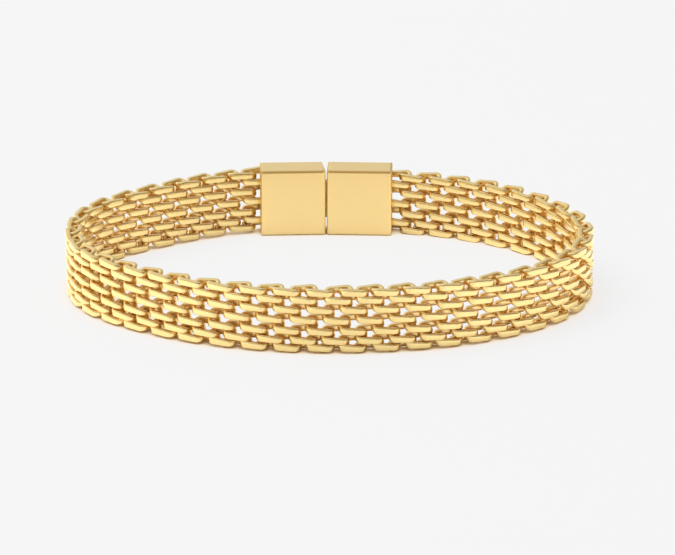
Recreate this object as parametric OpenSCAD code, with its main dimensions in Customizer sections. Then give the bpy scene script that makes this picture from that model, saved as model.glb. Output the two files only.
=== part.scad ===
// Mesh bracelet: a band of interlocked flat wire coils, closed by a two-block box clasp.
// It lies on its edge, with the wrist opening upright. Millimetres.

/* [Loop] */
// Width of the loop from side to side, measured in the middle of the band
loop_width = 64.4; // [50:0.1:80]
// Depth of the loop from front to back, measured in the middle of the band
loop_depth = 43.0; // [36:0.1:60]

/* [Mesh band] */
// Height of the woven band
band_height = 8; // [5:0.1:14]
// Thickness of the woven band, over both layers of wire
band_thickness = 2.3; // [2:0.05:4]
// How far the band's lower edge sits above the clasp's lower face
band_rise = 0.3; // [0:0.05:1]
// Wanted distance from one coil column to the next
coil_pitch = 2; // [1.5:0.05:3]
// Thickness of the coil wire
wire_thickness = 0.85; // [0.5:0.05:1.2]
// Width of a see-through gap between the coils
gap_width = 1.1; // [0.6:0.05:1.4]
// Height of a see-through gap between the coils
gap_height = 0.9; // [0.5:0.05:1.2]

/* [Clasp blocks] */
// Length of one block along the band
block_length = 8.55; // [6:0.05:12]
// Thickness of a block, from its inner face to its outer face
block_thickness = 3.8; // [2.6:0.05:5]
// Height of a block
block_height = 9; // [6:0.05:15]
// Radius of the block's worn edges
edge_radius = 0.35; // [0.1:0.05:0.5]
// Angle that each block turns back from the line of the seam
block_turn = 2.3; // [0:0.1:6]
// Extra slant of the left block's meeting face
meeting_slant = 6.5; // [0:0.5:10]
// Gap between the two meeting faces at the inner side
seam_gap = 0.12; // [0.05:0.01:0.4]

/* [Hidden pieces] */
// Thickness of the tongue inside the clasp
tongue_thickness = 0.8; // [0.5:0.1:1.2]
// Height of the tongue inside the clasp
tongue_height = 5; // [3:0.5:7]
// How far the tongue reaches into each block
tongue_reach = 4; // [2:0.5:5]
// Clearance around a hidden piece
clearance = 0.1; // [0.05:0.01:0.2]

/* [Which piece] */
// Piece to draw

/* [Hidden] */
$fn = 32;

// How the worn loop departs from an oval.
// Each row: waves around the loop, share along the front-back line, share along the side line
loop_waves = [
    [1, 0.003, 0.0024],
    [2, 0.0319, 0.007],
    [3, -0.0069, 0.0059],
    [4, 0.0032, 0],
    [5, -0.0004, -0.0025],
    [6, 0.0012, 0.0021],
    [7, 0.0002, -0.0037],
    [8, -0.0021, 0.0012]
];
// Height of each wire level, as a share of the band's half height between wire centres
level_share = [1, 0.741, 0.388, 0, -0.393, -0.732, -1];
// How far the clasp sits from the point opposite the front, along the loop
clasp_offset = 0.6;
// Distance from a block's end to the middle of the end coil
end_room = 0.78;
// Length over which the band runs straight into the clasp's line
settle_length = 9;
// How far the coils have slid along the loop: shares of a half wave, a full wave and so on
coil_slide = [1.952, -0.052, -0.145, -0.141, -0.188, -0.153, 0.068];
// Depth, thickness and height of the stub that the clasp holds
stub_reach = 1.1;
stub_thickness = band_thickness - wire_thickness;
stub_height = band_height - 1.2*wire_thickness;

gold_mesh = "#dcae5c";
gold_block = "#f0cf88";
steps = 360;

function wave(t, i = 0) = i >= len(loop_waves) ? 1 :
    loop_waves[i][1]*cos(loop_waves[i][0]*t) + loop_waves[i][2]*sin(loop_waves[i][0]*t) + wave(t, i + 1);
function bare(t) = wave(t)*[sin(t), -cos(t)];
bare_points = [for (i = [0:steps]) bare(i*360/steps)];
bare_x = [for (p = bare_points) p[0]];
bare_y = [for (p = bare_points) p[1]];
scale_x = loop_width/(max(bare_x) - min(bare_x));
scale_y = loop_depth/(max(bare_y) - min(bare_y));

function loop_at(t) = let (p = bare(t)) [p[0]*scale_x, p[1]*scale_y];
chords = [for (i = [0:steps - 1]) norm(loop_at((i + 1)*360/steps) - loop_at(i*360/steps))];
reach = [for (i = 0, s = 0; i <= steps; s = s + (i < steps ? chords[i] : 0), i = i + 1) [s, i*360/steps]];
loop_length = reach[steps][0];
function along(s) = loop_at(lookup(s < 0 ? s + loop_length : s, reach));

// Clasp: the middle of the band's two ends, with the end coils a set distance to each side
clasp_span = 2*(block_length + end_room) + seam_gap;
clasp_mid = loop_length/2 + clasp_offset;
end_right = along(clasp_mid - clasp_span/2);
end_left = along(clasp_mid + clasp_span/2);
clasp_centre = (end_right + end_left)/2 + [0, clasp_span/2*sin(block_turn)];

function turned(p, a) = [p[0]*cos(a) - p[1]*sin(a), p[0]*sin(a) + p[1]*cos(a)];
function block_origin(side) = clasp_centre + [side*seam_gap/2, -block_thickness/2];
function block_point(side, u, v) = block_origin(side) + turned([side*u, v], -side*block_turn);
shift_right = block_point(1, block_length + end_room, block_thickness/2) - end_right;
shift_left = block_point(-1, block_length + end_room, block_thickness/2) - end_left;

// Coil columns, counted from the right block through the front to the left block
free_length = loop_length - clasp_span;
columns = 2*round(free_length/(2*coil_pitch)) + 1;
pitch = free_length/(columns - 1);
function fade(d) = exp(-pow(d/settle_length, 2));
function slide(k, i = 0) = i >= len(coil_slide) ? 0 :
    coil_slide[i]*sin(180*(i + 1)*k/(columns - 1)) + slide(k, i + 1);
function band_at(k) = along(clasp_mid - clasp_span/2 - k*pitch - slide(k))
    + shift_right*fade(k*pitch) + shift_left*fade((columns - 1 - k)*pitch);
function band_way(k) = let (d = band_at(k - 0.05) - band_at(k + 0.05)) d/norm(d);
function band_edge(k, off) = let (w = band_way(k)) band_at(k) + off*[w[1], -w[0]];

outer_edge = [for (k = [-0.5:1:columns]) band_edge(k, band_thickness/2)];
inner_edge = [for (k = [-0.5:1:columns]) band_edge(k, -band_thickness/2)];
corners = [for (side = [-1, 1], u = [0, block_length], v = [0, block_thickness]) block_point(side, u, v)];
extent = concat(outer_edge, corners);
extent_x = [for (p = extent) p[0]];
extent_y = [for (p = extent) p[1]];
middle = [(max(extent_x) + min(extent_x))/2, (max(extent_y) + min(extent_y))/2];

half_span = (band_height - wire_thickness)/2;
function level(n) = band_rise + band_height/2 + half_span*level_share[n - 1];
// A gap falls on its way through the band, from the outer face to the inner face
function gap_z(n) = (level(n) + level(n + 1))/2;
function gap_fall(n) = atan(0.6*(level(n) - level(n + 1))/(band_thickness - wire_thickness));

module centred() {
    translate([-middle[0], -middle[1], 0]) children();
}

module on_block(side) {
    translate(block_origin(side)) rotate([0, 0, -side*block_turn]) children();
}

module soft_rect(a, b) {
    square([a - 2*edge_radius, b], center = true);
    square([a, b - 2*edge_radius], center = true);
    for (i = [-1, 1], j = [-1, 1])
        translate([i*(a/2 - edge_radius), j*(b/2 - edge_radius)]) circle(edge_radius);
}

module soft_block(a, b, c) {
    intersection() {
        linear_extrude(c, center = true) soft_rect(a, b);
        rotate([90, 0, 0]) linear_extrude(b + 1, center = true) soft_rect(a, c);
        rotate([90, 0, 90]) linear_extrude(a + 1, center = true) soft_rect(b, c);
    }
}

module stub_shape(side, room) {
    on_block(side)
        translate([side*(block_length - stub_reach/2 + 0.6), block_thickness/2, block_height/2])
            cube([stub_reach + 1.2 + 2*room, stub_thickness + 2*room, stub_height + 2*room], center = true);
}

module tongue_shape(room) {
    translate([clasp_centre[0], clasp_centre[1], block_height/2])
        cube([2*tongue_reach + 2*room, tongue_thickness + 2*room, tongue_height + 2*room], center = true);
}

module block_shape(side, slant) {
    difference() {
        on_block(side) translate([side*block_length/2, block_thickness/2, block_height/2])
            soft_block(block_length, block_thickness, block_height);
        stub_shape(side, clearance);
        tongue_shape(clearance);
        if (slant > 0)
            on_block(side) rotate([0, 0, -side*slant]) translate([-side*5, 0, block_height/2])
                cube([10, 4*block_thickness, 2*block_height], center = true);
    }
}

module band_gap(k, n) {
    p = band_at(k);
    w = band_way(k);
    translate([p[0], p[1], gap_z(n)]) rotate([0, 0, atan2(w[1], w[0])]) rotate([-gap_fall(n), 0, 0])
        cube([gap_width, 3*band_thickness, gap_height], center = true);
}

module mesh_band() {
    color(gold_mesh) centred() difference() {
        union() {
            difference() {
                translate([0, 0, band_rise]) linear_extrude(band_height)
                    polygon(concat(outer_edge, [for (i = [len(inner_edge) - 1:-1:0]) inner_edge[i]]));
                for (side = [-1, 1]) on_block(side)
                    translate([side*(block_length + clearance)/2, block_thickness/2, block_height/2])
                        cube([block_length + clearance, 3*block_thickness, 3*block_height], center = true);
            }
            for (side = [-1, 1]) stub_shape(side, 0);
        }
        for (k = [1:columns - 2])
            for (n = k % 2 == 1 ? [3, 5] : [4]) band_gap(k, n);
    }
}

module clasp_left_block() {
    color(gold_block) centred() block_shape(-1, meeting_slant);
}

module clasp_right_block() {
    color(gold_block) centred() block_shape(1, 0);
}

module clasp_tongue() {
    color(gold_block) centred() tongue_shape(0);
}

mesh_band();
clasp_left_block();
clasp_right_block();
clasp_tongue();
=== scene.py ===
import math

import bpy
import numpy as np
from mathutils import Matrix, Vector


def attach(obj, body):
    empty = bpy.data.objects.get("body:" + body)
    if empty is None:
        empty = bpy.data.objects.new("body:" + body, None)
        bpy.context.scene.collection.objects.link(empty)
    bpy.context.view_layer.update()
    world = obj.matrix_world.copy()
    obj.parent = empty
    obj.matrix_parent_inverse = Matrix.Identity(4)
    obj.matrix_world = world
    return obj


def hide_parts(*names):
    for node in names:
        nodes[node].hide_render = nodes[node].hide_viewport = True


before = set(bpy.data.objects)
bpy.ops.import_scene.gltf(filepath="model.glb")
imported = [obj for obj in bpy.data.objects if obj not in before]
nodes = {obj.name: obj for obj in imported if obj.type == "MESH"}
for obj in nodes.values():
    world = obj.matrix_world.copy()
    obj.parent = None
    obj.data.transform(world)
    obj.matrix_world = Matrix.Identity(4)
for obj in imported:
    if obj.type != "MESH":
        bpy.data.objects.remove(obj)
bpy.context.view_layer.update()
mm = 0.001
print("frame loaded")

# the worn loop, as a wavy oval seen from above, in millimetres
loop = {
    "width": 64.4, "depth": 43.0,   # measured in the middle of the band
    # each wave: how many go round, its share along the front-back line, its share along the side line
    "waves": ((1, 0.003, 0.0024), (2, 0.0319, 0.007), (3, -0.0069, 0.0059), (4, 0.0032, 0.0),
              (5, -0.0004, -0.0025), (6, 0.0012, 0.0021), (7, 0.0002, -0.0037), (8, -0.0021, 0.0012)),
    "points": 1441,                 # on the finely drawn oval
    "claspOffset": 0.6,             # from the point opposite the front, along the loop
    "coilPitch": 2.0,               # wanted distance from one coil to the next
    # how far the coils have slid along the loop, for half a wave, a full wave and so on
    "slide": (1.952, -0.052, -0.145, -0.141, -0.188, -0.153, 0.068),
    "bandThickness": 2.3,
    "blockLength": 8.55, "blockThickness": 3.8,
    "blockTurn": 2.3,               # degrees that a block turns back from the seam's line
    "seam": 0.12,
    "endRoom": 0.78,                # from a block's end to the middle of the end coil
    "settle": 9.0,                  # length over which the band comes into line with the clasp
    "wayStep": 0.05,                # part of a coil, for finding the band's direction
}


def bareOval(t):
    reach = 1 + sum(a * np.cos(n * t) + b * np.sin(n * t) for n, a, b in loop["waves"])
    return np.stack([reach * np.sin(t), -reach * np.cos(t)], -1)


def turnPoint(p, degrees):
    c, s = math.cos(math.radians(degrees)), math.sin(math.radians(degrees))
    return np.array([p[0] * c - p[1] * s, p[0] * s + p[1] * c])


oval = bareOval(np.linspace(0, 2 * math.pi, loop["points"]))
oval *= np.array([loop["width"], loop["depth"]]) / (oval.max(0) - oval.min(0))
walked = np.concatenate([[0], np.cumsum(np.linalg.norm(np.diff(oval, axis=0), axis=1))])
loopLength = walked[-1]


def alongLoop(s):
    s = np.mod(s, loopLength)
    return np.stack([np.interp(s, walked, oval[:, 0]), np.interp(s, walked, oval[:, 1])], -1)


claspSpan = 2 * (loop["blockLength"] + loop["endRoom"]) + loop["seam"]
claspMid = loopLength / 2 + loop["claspOffset"]
endRight, endLeft = alongLoop(claspMid - claspSpan / 2), alongLoop(claspMid + claspSpan / 2)
claspBack = claspSpan / 2 * math.sin(math.radians(loop["blockTurn"]))
claspCentre = (endRight + endLeft) / 2 + [0, claspBack]


def blockPoint(side, u, v):
    # u runs from the seam along the block, v from its inner face to its outer face
    corner = claspCentre + [side * loop["seam"] / 2, -loop["blockThickness"] / 2]
    return corner + turnPoint((side * u, v), -side * loop["blockTurn"])


def pullToBlock(side, end):
    return blockPoint(side, loop["blockLength"] + loop["endRoom"], loop["blockThickness"] / 2) - end


pullRight, pullLeft = pullToBlock(1, endRight), pullToBlock(-1, endLeft)
columnCount = 2 * round((loopLength - claspSpan) / (2 * loop["coilPitch"])) + 1
pitch = (loopLength - claspSpan) / (columnCount - 1)


def fade(distance, reach):
    return np.exp(-(np.asarray(distance, float) / reach) ** 2)


def bandAt(k):
    # the middle of coil k, counted from the right block round the front to the left block
    k = np.asarray(k, float)
    fromRight, fromLeft = k * pitch, (columnCount - 1 - k) * pitch
    slid = sum(s * np.sin(math.pi * (n + 1) * k / (columnCount - 1)) for n, s in enumerate(loop["slide"]))
    return (alongLoop(claspMid - claspSpan / 2 - fromRight - slid)
            + fade(fromRight, loop["settle"])[..., None] * pullRight
            + fade(fromLeft, loop["settle"])[..., None] * pullLeft)


def bandWay(k):
    d = bandAt(np.asarray(k) - loop["wayStep"]) - bandAt(np.asarray(k) + loop["wayStep"])
    return d / np.linalg.norm(d, axis=-1, keepdims=True)


# the CAD's box is centred on its footprint, so the path moves by the same amount
edgeAt = np.arange(-0.5, columnCount, 1.0)
way = bandWay(edgeAt)
outerEdge = bandAt(edgeAt) + loop["bandThickness"] / 2 * np.stack([way[:, 1], -way[:, 0]], -1)
blockCorners = np.array([blockPoint(side, u, v) for side in (-1, 1)
                         for u in (0, loop["blockLength"]) for v in (0, loop["blockThickness"])])
extent = np.concatenate([outerEdge, blockCorners])
middle = (extent.max(0) + extent.min(0)) / 2
print("path ready:", columnCount, "coils,", round(loopLength, 1), "mm round")

# one coil: a flattened spring of seven bars, screwed into its neighbours
coil = {
    "width": 3.08, "depth": 1.46, "corner": 0.66,   # centreline of one turn seen from above
    "bandMiddle": 4.3,          # halfway up the band
    "levels": (3.60, 2.65, 1.386, 0.015, -1.406, -2.617, -3.55),   # the seven bars, from that height
    "innerLower": 0.045,        # the bars on the inside lie a little lower
    "innerFoot": 0.12,          # and the lowest one more so
    "barDrop": 0.07,            # half the fall of a bar from end to end
    "barThick": 0.62, "barHigh": 0.84, "barRound": 0.12,      # the rolled bars, with rounded corners
    "bendThick": 0.62, "bendHigh": 0.86, "bendRound": 0.28,   # the bends keep the round wire
    "bendUpright": 0.5,         # how upright a bend's section stays as the wire falls
    "flatTo": 1.05, "roundFrom": 1.52,              # how far from a bar's middle it turns round
    "taper": 0.08,              # a bar is higher where it starts and lower where it ends
    "highlightStart": 1.30, "highlightEnd": 0.98, "highlightFade": 0.34,   # painted highlight along a bar's outer face, reaching further at its start
    "topHighlightDepth": 0.45, "topHighlightFade": 0.3,               # how far down from the band's upper edge the top faces get painted highlight
    "barPoints": 3, "bendSteps": 10,                # points along a bar, and steps round a bend
    "bendRest": 0.05,           # share of a bend that stays level at each end
    "endTurn": 0.7,             # share of a bend that is left at the wire's two ends
    "endRise": -0.30, "lastRise": 0.15,             # how much the first and the last bend rise
    "endStretch": 1.16,         # the last coil but one reaches closer to the left block
    "liftLeft": 0.25, "liftRight": -0.09, "liftReach": 16.0,   # the band sits askew in the two blocks
    "unevenness": 0.02, "lean": 0.02, "seed": 11,   # how far bars and coils stray
}


def easeInOut(f):
    f = np.clip(f, 0, 1)
    return f * f * (3 - 2 * f)


def halfTurn(outward):
    # one bar and the bend after it, seen from above; outward is 1 on the outer face
    w, d, r = coil["width"] / 2, coil["depth"] / 2, coil["corner"]
    path = [(x, d) for x in np.linspace(r - w, w - r, coil["barPoints"])]
    normal = [(0, 1)] * coil["barPoints"]
    for i in range(1, coil["bendSteps"]):
        t = math.pi * (0.5 - i / coil["bendSteps"])
        path.append((w - r + r * math.cos(t), d * math.sin(t)))
        slope = math.hypot(math.cos(t) / r, math.sin(t) / d)
        normal.append((math.cos(t) / r / slope, math.sin(t) / d / slope))
    return np.array(path) * outward, np.array(normal, float) * outward


def barLevels(oddType, rng):
    levels = []
    for n, height in enumerate(coil["levels"]):
        inside = (n % 2 == 0) != oddType
        stray = rng.normal() * coil["unevenness"]
        levels.append(coil["bandMiddle"] + height + stray - (coil["innerLower"] if inside else 0))
    if not oddType:
        levels[-1] -= coil["innerFoot"]
    return levels


def coilPath(oddType, rng):
    levels = barLevels(oddType, rng)
    drop, taper = coil["barDrop"], coil["taper"]
    lastBar = len(levels) - 1
    cut = coil["barPoints"] + round(coil["bendSteps"] * coil["endTurn"])
    points, normals, swells = [], [], []
    for n in range(-1, lastBar + 1):   # bar -1 gives only the bend before the first bar
        outward = 1 if (n % 2 == 0) == oddType else -1
        path, normal = halfTurn(outward)
        gone = np.concatenate([[0], np.cumsum(np.linalg.norm(np.diff(path, axis=0), axis=1))])
        barLength = gone[coil["barPoints"] - 1]
        bendLength = 2 * gone[-1] - gone[-2] - barLength   # a bend ends one step after its last point
        turned = np.clip((gone - barLength) / bendLength, 0, 1)
        fall = easeInOut((turned - coil["bendRest"]) / (1 - 2 * coil["bendRest"]))
        # the wire starts and ends part of the way round a bend, at the band's edges
        start = levels[n] + drop if n >= 0 else 0
        end = levels[n] - drop if n >= 0 else levels[0] + drop + coil["endRise"]
        after = levels[n + 1] + drop if n < lastBar else end + coil["lastRise"]
        onBar = np.arange(len(path)) < coil["barPoints"]
        z = np.where(onBar, start + (end - start) * gone / barLength, end + (after - end) * fall)
        swell = 1 - taper * np.sin(math.pi / 2 * np.clip(path[:, 0] * outward / coil["flatTo"], -1, 1))
        first = len(path) + coil["barPoints"] - cut if n < 0 else 0
        last = cut if n == lastBar else len(path)
        points += [(p[0], p[1], h) for p, h in zip(path[first:last], z[first:last])]
        normals += [(v[0], v[1], 0) for v in normal[first:last]]
        swells += list((swell + 2 * taper * turned)[first:last])
    return np.array(points), np.array(normals), np.array(swells)


def unit(vectors):
    return vectors / np.linalg.norm(vectors, axis=1, keepdims=True)


def paintedHighlightMask(points, inOut, upDown, turn):
    # painted highlight on the bars' outer faces and on the top faces near the band's upper edge; the bends,
    # inner faces and undersides stay out of it and get painted shade
    ahead = points[:, :1] * np.where(points[:, 1:2] >= 0, 1, -1)
    past = np.where(ahead < 0, -ahead - coil["highlightStart"], ahead - coil["highlightEnd"])
    paintedHighlight = np.clip(1 - past / coil["highlightFade"], 0, 1) * (inOut > 0) * np.cos(turn)
    topBar = coil["bandMiddle"] + coil["levels"][0]
    topEdgeHighlight = np.clip((points[:, 2:3] - topBar + coil["topHighlightDepth"]) / coil["topHighlightFade"], 0, 1)
    return np.maximum(paintedHighlight, topEdgeHighlight * (upDown > 0) * np.sin(turn))


def sweepWire(points, normals, swells):
    tangent = unit(np.gradient(points, axis=0))
    side = unit(normals - tangent * (normals * tangent).sum(1, keepdims=True))
    up = np.cross(side, tangent)
    up = unit(up * np.sign(up[:, 2:3]) + coil["bendUpright"] * np.array([0, 0, 1]))
    fromMiddle = np.abs(points[:, :1])
    bend = easeInOut((fromMiddle - coil["flatTo"]) / (coil["roundFrom"] - coil["flatTo"]))
    thick, high, rounding = ((coil["bar" + name] + (coil["bend" + name] - coil["bar" + name]) * bend)
                             for name in ("Thick", "High", "Round"))
    high = high * swells[:, None]
    # three points for each of the section's four corners
    turn = np.radians([0, 45, 90, 90, 45, 0, 0, 45, 90, 90, 45, 0])[None]
    inOut = np.repeat([1, -1, -1, 1], 3)[None]
    upDown = np.repeat([1, 1, -1, -1], 3)[None]
    across = inOut * (thick / 2 - rounding * (1 - np.cos(turn)))
    above = upDown * (high / 2 - rounding * (1 - np.sin(turn)))
    rings = points[:, None] + side[:, None] * across[..., None] + up[:, None] * above[..., None]
    count, around = rings.shape[:2]
    i, j = np.meshgrid(np.arange(count - 1), np.arange(around), indexing="ij")
    a, b = i * around + j, i * around + (j + 1) % around
    quads = np.stack([a, b, b + around, a + around], -1).reshape(-1, 4)
    firstCap = np.arange(around)[::-1]
    lastCap = (count - 1) * around + np.arange(around)
    faces = quads.tolist() + [firstCap.tolist(), lastCap.tolist()]
    return rings.reshape(-1, 3), faces, paintedHighlightMask(points, inOut, upDown, turn).reshape(-1)


def makeMesh(name, verts, faces, smooth=True):
    mesh = bpy.data.meshes.new(name)
    mesh.from_pydata(verts.tolist(), [], faces)
    mesh.validate()
    if smooth:
        mesh.polygons.foreach_set("use_smooth", [True] * len(mesh.polygons))
    mesh.update()
    piece = bpy.data.objects.new(name, mesh)
    bpy.context.scene.collection.objects.link(piece)
    return piece


def placeCoil(k, verts, lean):
    # u runs along the band, r outwards, z up
    p, w = bandAt(float(k)), bandWay(float(k))
    u, r, z = verts[:, 0] + lean * (verts[:, 2] - coil["bandMiddle"]), verts[:, 1], verts[:, 2]
    if k == columnCount - 2:
        u = np.where(u < 0, u * coil["endStretch"], u)
    lift = (coil["liftRight"] * fade(k * pitch, coil["liftReach"])
            + coil["liftLeft"] * fade((columnCount - 1 - k) * pitch, coil["liftReach"]))
    return np.stack([p[0] + u * w[0] + r * w[1] - middle[0],
                     p[1] + u * w[1] - r * w[0] - middle[1], z + lift], -1)


def weaveBand():
    rng = np.random.default_rng(coil["seed"])
    allVerts, allFaces, allHighlight, base = [], [], [], 0
    for k in range(columnCount):
        verts, faces, bright = sweepWire(*coilPath(k % 2 == 0, rng))
        allVerts.append(placeCoil(k, verts, rng.normal() * coil["lean"]))
        allFaces += [[base + index for index in face] for face in faces]
        allHighlight.append(bright)
        base += len(verts)
    piece = makeMesh("mesh_band_coils", np.concatenate(allVerts) * mm, allFaces)
    # the painted highlight mask, kept on the points for the wire's material
    mask = piece.data.color_attributes.new("paintedHighlight", "FLOAT_COLOR", "POINT")
    shade = np.concatenate(allHighlight)
    mask.data.foreach_set("color", np.stack([shade, shade, shade, np.ones_like(shade)], -1).ravel())
    print("band woven:", base, "points,", sum(len(face) - 2 for face in allFaces), "triangles")
    return piece


# node helpers; a value is a number, a colour or another node's output
def feed(tree, socket, value):
    if isinstance(value, bpy.types.NodeSocket):
        tree.links.new(value, socket)
    else:
        socket.default_value = value


def feedAll(tree, node, values):
    for name, value in values.items():
        feed(tree, node.inputs[name], value)


def mathNode(tree, operation, *values):
    node = tree.nodes.new("ShaderNodeMath")
    node.operation = operation
    for socket, value in zip(node.inputs, values):
        feed(tree, socket, value)
    return node.outputs[0]


def mixNode(tree, factor, a, b, kind="RGBA"):
    node = tree.nodes.new("ShaderNodeMix")
    node.data_type = kind
    feedAll(tree, node, {"Factor": factor, "A": a, "B": b})
    return node.outputs["Result"]


def rampNode(tree, value, span, result=(0.0, 1.0), smooth=False):
    node = tree.nodes.new("ShaderNodeMapRange")
    if smooth:
        node.interpolation_type = "SMOOTHSTEP"
    feedAll(tree, node, {"Value": value, "From Min": span[0], "From Max": span[1],
                         "To Min": result[0], "To Max": result[1]})
    return node.outputs["Result"]


def placeNode(tree, kind):
    return tree.nodes.new("ShaderNodeTexCoord").outputs[kind]


def splitNode(tree, vector):
    node = tree.nodes.new("ShaderNodeSeparateXYZ")
    feed(tree, node.inputs[0], vector)
    return node.outputs


def newMaterial(name):
    material = bpy.data.materials.new(name)
    material.use_nodes = True
    tree = material.node_tree
    shader = next(n for n in tree.nodes if n.type == "BSDF_PRINCIPLED")
    return material, tree, shader


# shared gold finish: the colour drifts between bright and deep, over a fine grain
grain = {"driftDetail": 3, "grainDetail": 4, "finer": 7}   # how many times finer the grain is


def noiseNode(tree, scale, detail):
    node = tree.nodes.new("ShaderNodeTexNoise")
    feedAll(tree, node, {"Vector": placeNode(tree, "Object"), "Scale": scale, "Detail": detail})
    return node.outputs["Fac"]


def goldFinishGroup():
    group = bpy.data.node_groups.new("goldFinish", "ShaderNodeTree")
    for name, kind, value in (("Bright", "Color", (1, 0.75, 0.4, 1)), ("Deep", "Color", (0.8, 0.5, 0.2, 1)),
                              ("Scale", "Float", 300.0), ("Rough", "Float", 0.3),
                              ("Rough Spread", "Float", 0.1)):
        made = group.interface.new_socket(name, in_out="INPUT", socket_type="NodeSocket" + kind)
        made.default_value = value
    for name, kind in (("Color", "Color"), ("Roughness", "Float"), ("Height", "Float")):
        group.interface.new_socket(name, in_out="OUTPUT", socket_type="NodeSocket" + kind)
    given = group.nodes.new("NodeGroupInput").outputs
    drift = noiseNode(group, given["Scale"], grain["driftDetail"])
    finer = mathNode(group, "MULTIPLY", given["Scale"], grain["finer"])
    fine = noiseNode(group, finer, grain["grainDetail"])
    centred = mathNode(group, "SUBTRACT", fine, 0.5)
    feedAll(group, group.nodes.new("NodeGroupOutput"), {
        "Color": mixNode(group, drift, given["Deep"], given["Bright"]),
        "Roughness": mathNode(group, "MULTIPLY_ADD", centred, given["Rough Spread"], given["Rough"]),
        "Height": fine,
    })
    return group


goldFinish = goldFinishGroup()
golds = {
    "wireGold": {"bright": (0.93, 0.73, 0.33), "deep": (0.91, 0.685, 0.29), "scale": 500,
                 "rough": 0.25, "spread": 0.12, "bump": 0.25, "bumpDepth": 0.00003},
    "blockGold": {"bright": (0.98, 0.75, 0.345), "deep": (0.96, 0.72, 0.315), "scale": 260,
                  "rough": 0.36, "spread": 0.10, "bump": 0.12, "bumpDepth": 0.00002},
    "tongueGold": {"bright": (0.85, 0.66, 0.36), "deep": (0.80, 0.60, 0.30), "scale": 260,
                   "rough": 0.45, "spread": 0.10, "bump": 0.12, "bumpDepth": 0.00002},
}


def goldMaterial(name, tone=None):
    values = golds[name]
    material, tree, shader = newMaterial(name)
    finish = tree.nodes.new("ShaderNodeGroup")
    finish.node_tree = goldFinish
    feedAll(tree, finish, {"Bright": (*values["bright"], 1), "Deep": (*values["deep"], 1),
                           "Scale": values["scale"], "Rough": values["rough"],
                           "Rough Spread": values["spread"]})
    color, rough = finish.outputs["Color"], finish.outputs["Roughness"]
    if tone:
        color, rough = tone(tree, color, rough)
    relief = tree.nodes.new("ShaderNodeBump")
    feedAll(tree, relief, {"Strength": values["bump"], "Distance": values["bumpDepth"],
                           "Height": finish.outputs["Height"]})
    feedAll(tree, shader, {"Base Color": color, "Roughness": rough, "Metallic": 1,
                           "Normal": relief.outputs["Normal"]})
    return material


# off the painted highlight the wire gets painted shade, a darker colour, and is a little rougher
bends = {"color": (0.96, 0.69, 0.31), "rough": 0.30}


# painted shade: the shade colour is mixed in wherever the painted highlight mask is empty
def paintBendShade(tree, color, rough):
    mask = tree.nodes.new("ShaderNodeAttribute")
    mask.attribute_name = "paintedHighlight"
    paintedHighlight = mask.outputs["Fac"]
    return (mixNode(tree, paintedHighlight, (*bends["color"], 1), color),
            mixNode(tree, paintedHighlight, bends["rough"], rough, "FLOAT"))


# painted dark reflection: a darker, rougher line along the blocks' upper edges, where the surface leans
# between these amounts
edgeReflection = {"color": (0.76, 0.50, 0.18), "rough": 0.5, "low": 0.14, "high": 0.97, "soft": 0.16}


# painted dark reflection on the bevels between the blocks' sides and tops
def paintEdgeReflection(tree, color, rough):
    facingUp = splitNode(tree, placeNode(tree, "Normal"))["Z"]
    notSide = rampNode(tree, facingUp, (edgeReflection["low"], edgeReflection["low"] + edgeReflection["soft"]))
    notTop = rampNode(tree, facingUp, (edgeReflection["high"], edgeReflection["high"] - edgeReflection["soft"]))
    mask = mathNode(tree, "MULTIPLY", notSide, notTop)
    return (mixNode(tree, mask, color, (*edgeReflection["color"], 1)),
            mixNode(tree, mask, rough, edgeReflection["rough"], "FLOAT"))


wireGold = goldMaterial("wireGold", paintBendShade)
blockGold = goldMaterial("blockGold", paintEdgeReflection)
tongueGold = goldMaterial("tongueGold")

band = weaveBand()
band.data.materials.append(wireGold)
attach(band, "root")
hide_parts("mesh_band")
for node, material in (("clasp_left_block", blockGold), ("clasp_right_block", blockGold),
                       ("clasp_tongue", tongueGold)):
    nodes[node].data.materials.clear()
    nodes[node].data.materials.append(material)
print("finishes on")

# pale floor and soft studio light; what the camera sees of them differs from what the metal sees
studio = {
    "floorSize": 3.0, "floorRough": 0.95, "floorGloss": 0.1,
    "floorColor": 0.735,            # the paper that light bounces off
    "floorShade": 0.06,             # how much of the shade on it the camera sees
    "floorSeen": 0.823, "skySeen": 0.92,            # the same white on the paper and beyond it
    "sideGlow": 0.32, "glowFrom": 0.006, "glowTo": 0.026,   # the metal sees brighter paper at both ends
    "contactReach": 0.0024, "contactSamples": 12,   # metal nearer than this gets a painted shadow and a painted warm glow on the paper
    # ramp from painted contact shadow, dark brown, through painted warm glow to white
    "contact": ((0.10, (0.20, 0.09, 0.02)), (0.22, (0.50, 0.27, 0.09)), (0.31, (1.0, 0.81, 0.54)),
                (0.45, (1.06, 0.96, 0.83)), (0.72, (1.03, 0.99, 0.96)), (1.0, (1.0, 1.0, 1.0))),
    # the room that the metal sees, and between which directions its brightness changes
    "frontToBack": (0.32, 0.73), "depthSpan": (-0.35, 0.35),
    "overhead": 0.75, "topSpan": (0.35, 0.9),
    "leftToRight": (1.5, 0.65), "sideSpan": (-0.8, 0.8),
    "key": 9.0, "keySize": 0.6,     # a soft box that lights the paper
    "keyAt": (-0.45, -0.10, 0.80), "keyAim": (0, 0, 0.004),
}


def grey(value):
    return (value, value, value, 1)


def cameraRay(tree):
    return tree.nodes.new("ShaderNodeLightPath").outputs["Is Camera Ray"]


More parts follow.
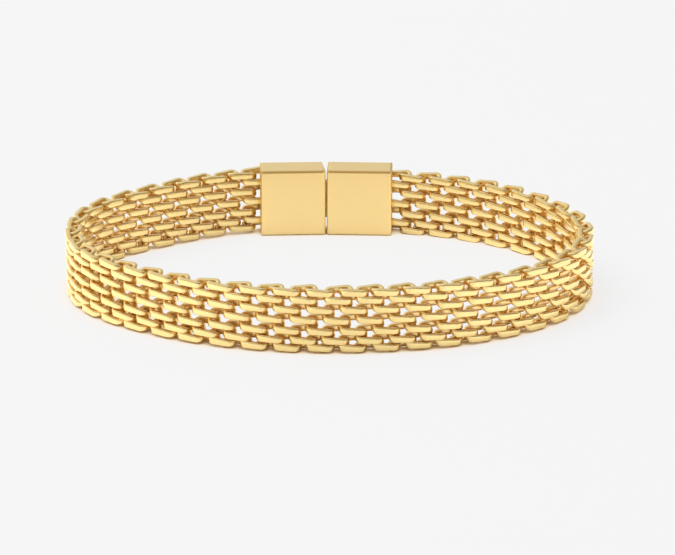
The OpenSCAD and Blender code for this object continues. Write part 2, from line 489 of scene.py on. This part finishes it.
# painted contact shadow under the metal and a painted warm glow around it, set by how near the metal is
def paintContactShadow(tree):
    near = tree.nodes.new("ShaderNodeAmbientOcclusion")
    near.samples = studio["contactSamples"]
    near.inputs["Distance"].default_value = studio["contactReach"]
    contactShadowRamp = tree.nodes.new("ShaderNodeValToRGB")
    stops = contactShadowRamp.color_ramp.elements
    while len(stops) < len(studio["contact"]):
        stops.new(0.5)
    for stop, (position, color) in zip(stops, studio["contact"]):
        stop.position, stop.color = position, (*color, 1)
    feed(tree, contactShadowRamp.inputs["Fac"], near.outputs["AO"])
    return contactShadowRamp.outputs["Color"]


def layFloor():
    s = studio["floorSize"]
    corners = np.array([(-s, -s, 0), (s, -s, 0), (s, s, 0), (-s, s, 0)], float)
    floor = makeMesh("floor", corners, [(0, 1, 2, 3)], smooth=False)
    material, tree, shader = newMaterial("paleFloor")
    seen = cameraRay(tree)
    away = mathNode(tree, "ABSOLUTE", splitNode(tree, placeNode(tree, "Object"))["X"])
    glow = rampNode(tree, away, (studio["glowFrom"], studio["glowTo"]), (0.0, studio["sideGlow"]))
    feedAll(tree, shader, {
        "Roughness": studio["floorRough"], "Specular IOR Level": studio["floorGloss"],
        "Base Color": mixNode(tree, seen, grey(studio["floorColor"]), grey(studio["floorShade"])),
        # the painted contact shadow and glow
        "Emission Color": paintContactShadow(tree),
        "Emission Strength": mixNode(tree, seen, glow, studio["floorSeen"], "FLOAT"),
    })
    floor.data.materials.append(material)


def softRoom():
    # bright paper behind, a darker room on the camera's side, more light from the left
    world = bpy.data.worlds.new("softRoom")
    world.use_nodes = True
    tree = world.node_tree
    toward = splitNode(tree, placeNode(tree, "Generated"))
    depth = rampNode(tree, toward["Y"], studio["depthSpan"], studio["frontToBack"], smooth=True)
    top = rampNode(tree, toward["Z"], studio["topSpan"], (0.0, studio["overhead"]), smooth=True)
    sides = rampNode(tree, toward["X"], studio["sideSpan"], studio["leftToRight"], smooth=True)
    room = mathNode(tree, "MULTIPLY", mathNode(tree, "MAXIMUM", depth, top), sides)
    feedAll(tree, tree.nodes["Background"], {
        "Color": grey(1), "Strength": mixNode(tree, cameraRay(tree), room, studio["skySeen"], "FLOAT")})
    bpy.context.scene.world = world


def softBox():
    light = bpy.data.lights.new("softLeft", "AREA")
    light.shape = "SQUARE"
    light.size = studio["keySize"]
    light.energy = studio["key"]
    lamp = bpy.data.objects.new("softLeft", light)
    lamp.location = studio["keyAt"]
    lamp.visible_glossy = False
    aim = Vector(studio["keyAim"]) - Vector(studio["keyAt"])
    lamp.rotation_euler = aim.to_track_quat("-Z", "Y").to_euler()
    bpy.context.scene.collection.objects.link(lamp)


layFloor()
softRoom()
softBox()
bpy.context.scene.view_settings.view_transform = "Standard"

# the camera stands where the photograph was taken from
view = {
    "elevation": 20.75, "distance": 479.50, "focal": 3793.7,   # degrees, mm, pixels
    "originAt": (330.05, 256.10), "frame": (675, 555),         # pixels
    "sensor": 36, "clip": (0.01, 10),
}


def placeCamera():
    e = math.radians(view["elevation"])
    right = Vector((1, 0, 0))
    up = Vector((0, math.sin(e), math.cos(e)))
    ahead = Vector((0, math.cos(e), -math.sin(e)))
    origin = Vector((-middle[0], -middle[1], coil["bandMiddle"])) * mm
    # the loop's origin isn't in the middle of the frame, so the camera turns a little
    across = view["frame"][0] / 2 - view["originAt"][0]
    above = view["originAt"][1] - view["frame"][1] / 2
    aim = (ahead * view["focal"] + right * across + up * above).normalized()
    top = (up - aim * up.dot(aim)).normalized()
    side = aim.cross(top)
    camera = bpy.data.cameras.new("camera")
    camera.sensor_width = view["sensor"]
    camera.lens = view["focal"] / view["frame"][0] * view["sensor"]
    camera.clip_start, camera.clip_end = view["clip"]
    holder = bpy.data.objects.new("camera", camera)
    turn = Matrix((side, top, -aim)).transposed().to_4x4()
    holder.matrix_world = Matrix.Translation(origin - ahead * view["distance"] * mm) @ turn
    bpy.context.scene.collection.objects.link(holder)
    bpy.context.scene.camera = holder


placeCamera()
print("studio ready")
